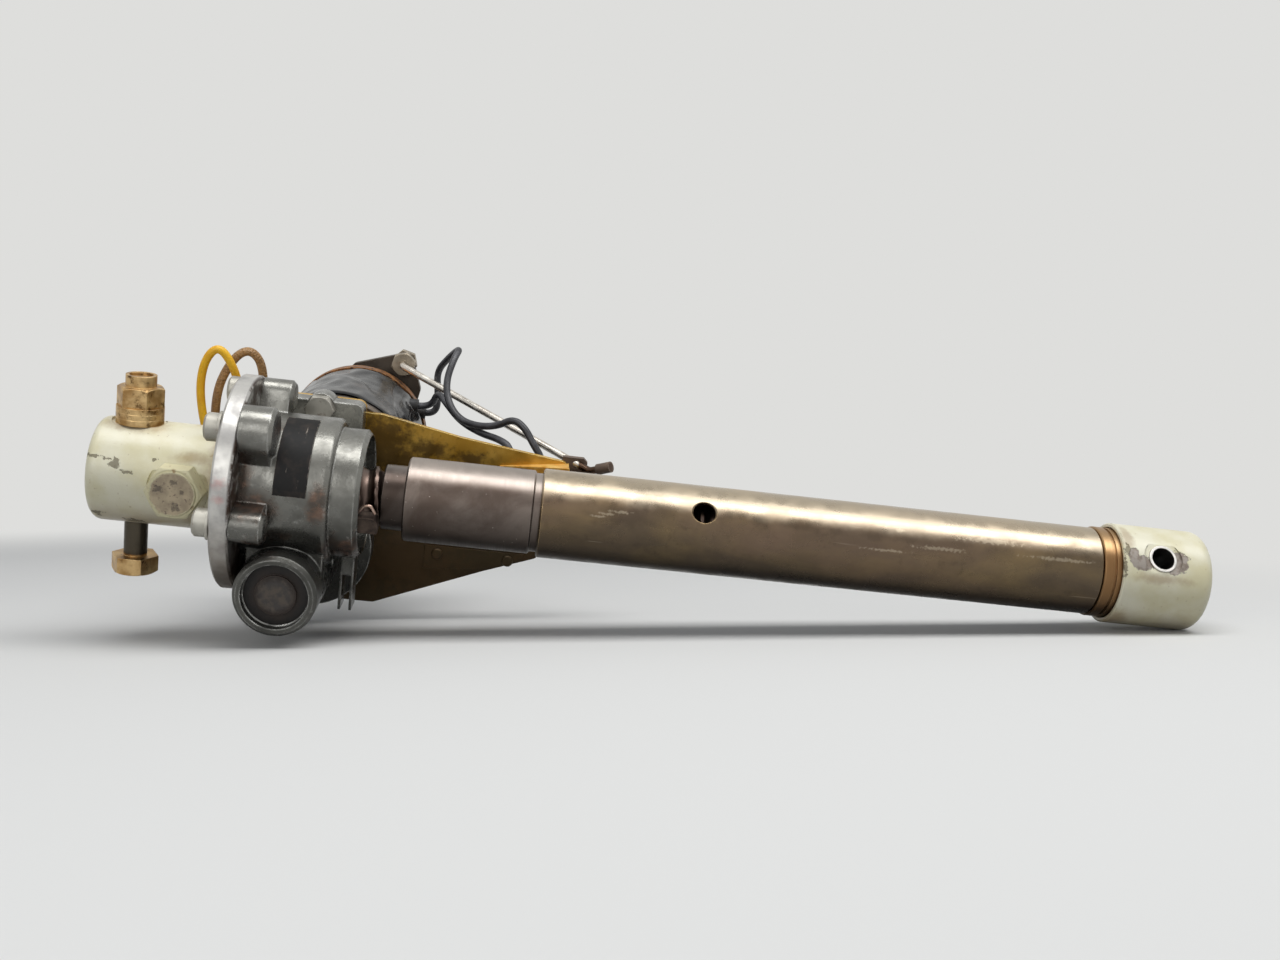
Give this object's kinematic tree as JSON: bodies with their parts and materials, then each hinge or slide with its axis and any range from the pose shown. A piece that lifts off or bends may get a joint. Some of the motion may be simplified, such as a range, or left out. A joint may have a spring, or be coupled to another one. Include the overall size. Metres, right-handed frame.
{
  "type": "flap actuator",
  "caption": "Electric screw jack: motor across a geared housing, a jack screw and nut pushing an extension tube with a cross-bolted end fitting.",
  "frame": {"origin": "centre of the rear fitting's cross bolt, on the screw axis", "axes": "+X along the screw to the end fitting, +Y towards the motor, +Z along the rear cross bolt to its nut"},
  "size_m": [0.3955, 0.1555, 0.0963],
  "materials": {
    "cream_paint": "old gloss cream paint, chipped",
    "gold_steel": "yellow cadmium plate",
    "plate_steel": "bright plated steel",
    "cast_grey": "grey painted casting, greasy",
    "dark_steel": "dark heat-stained steel",
    "tube_steel": "brown stained steel",
    "bronze": "bronze",
    "black_label": "black foil",
    "black_sleeve": "shrunk sleeve",
    "copper": "copper",
    "zinc_yellow": "yellow chromate, stained",
    "gear_steel": "machined steel",
    "bearing_steel": "polished",
    "core_steel": "laminated core",
    "black_pvc": "black insulation",
    "yellow_pvc": "yellow insulation",
    "tan_pvc": "varnished sleeve",
    "switch_body": "moulded phenolic"
  },
  "bodies": {
    "housing": {"bracket_doubler": "zinc_yellow", "bracket_rivets": "plate_steel", "bracket_strip": "zinc_yellow", "case_bolt": "plate_steel", "cover_plate": "plate_steel", "cover_screws": "plate_steel", "cover_washers": "plate_steel", "fitting_lock_bolt": "cream_paint", "gear_case": "cast_grey", "gear_housing": "cast_grey", "label_plate": "black_label", "lead_grommets": "black_sleeve", "lead_tan": "tan_pvc", "lead_yellow": "yellow_pvc", "limit_switches": "switch_body", "motor_band": "copper", "motor_case": "dark_steel", "motor_end_bell": "dark_steel", "motor_field": "core_steel", "motor_rear_plate": "dark_steel", "motor_sleeve": "black_sleeve", "rear_cross_bolt": "gold_steel", "rear_fitting": "cream_paint", "rear_lock_nut": "gold_steel", "rear_washers": "gold_steel", "rod_lug": "bronze", "screw_bearings": "bearing_steel", "stop_block": "dark_steel", "stop_wire": "copper", "support_bracket": "zinc_yellow", "switch_lead_a": "black_pvc", "switch_lead_b": "black_pvc", "switch_screws": "plate_steel", "tie_nuts": "plate_steel", "tie_rod": "plate_steel", "tie_sleeve": "tan_pvc", "worm_bearings": "bearing_steel", "worm_plug": "dark_steel"},
    "armature": {"motor_shaft": "core_steel", "motor_pinion": "gear_steel", "motor_commutator": "copper"},
    "worm": {"worm_shaft": "gear_steel", "spur_gear": "gear_steel"},
    "screw": {"lift_screw": "dark_steel", "worm_wheel": "bronze"},
    "ram": {"wiper_ring": "dark_steel", "nut_barrel": "dark_steel", "extension_tube": "tube_steel", "neck_ring": "bronze", "end_fitting": "cream_paint", "end_bush": "plate_steel"}
  },
  "joints": [
    {"name": "tube_slide", "type": "slide", "parent": "housing", "child": "ram", "axis": [1, 0, 0], "range_m": [-0.005, 0.15]},
    {"name": "screw_spin", "type": "hinge", "parent": "housing", "child": "screw", "pos_m": [0.055, 0, 0], "axis": [1, 0, 0], "range_deg": [-323, 8544]},
    {"name": "worm_spin", "type": "hinge", "parent": "housing", "child": "worm", "pos_m": [0.0549, 0, -0.0299], "axis": [0, 1, 0], "range_deg": [-127919, 4612]},
    {"name": "motor_spin", "type": "hinge", "parent": "housing", "child": "armature", "pos_m": [0.0615, 0.07, -0.00145], "axis": [0, 1, 0], "range_deg": [-10439, 292284]}
  ],
  "couplings": [
    {"joint": "screw_spin", "follows": "tube_slide", "rad_per_m": 989.48},
    {"joint": "worm_spin", "follows": "tube_slide", "rad_per_m": -14842},
    {"joint": "motor_spin", "follows": "tube_slide", "rad_per_m": 33925}
  ]
}
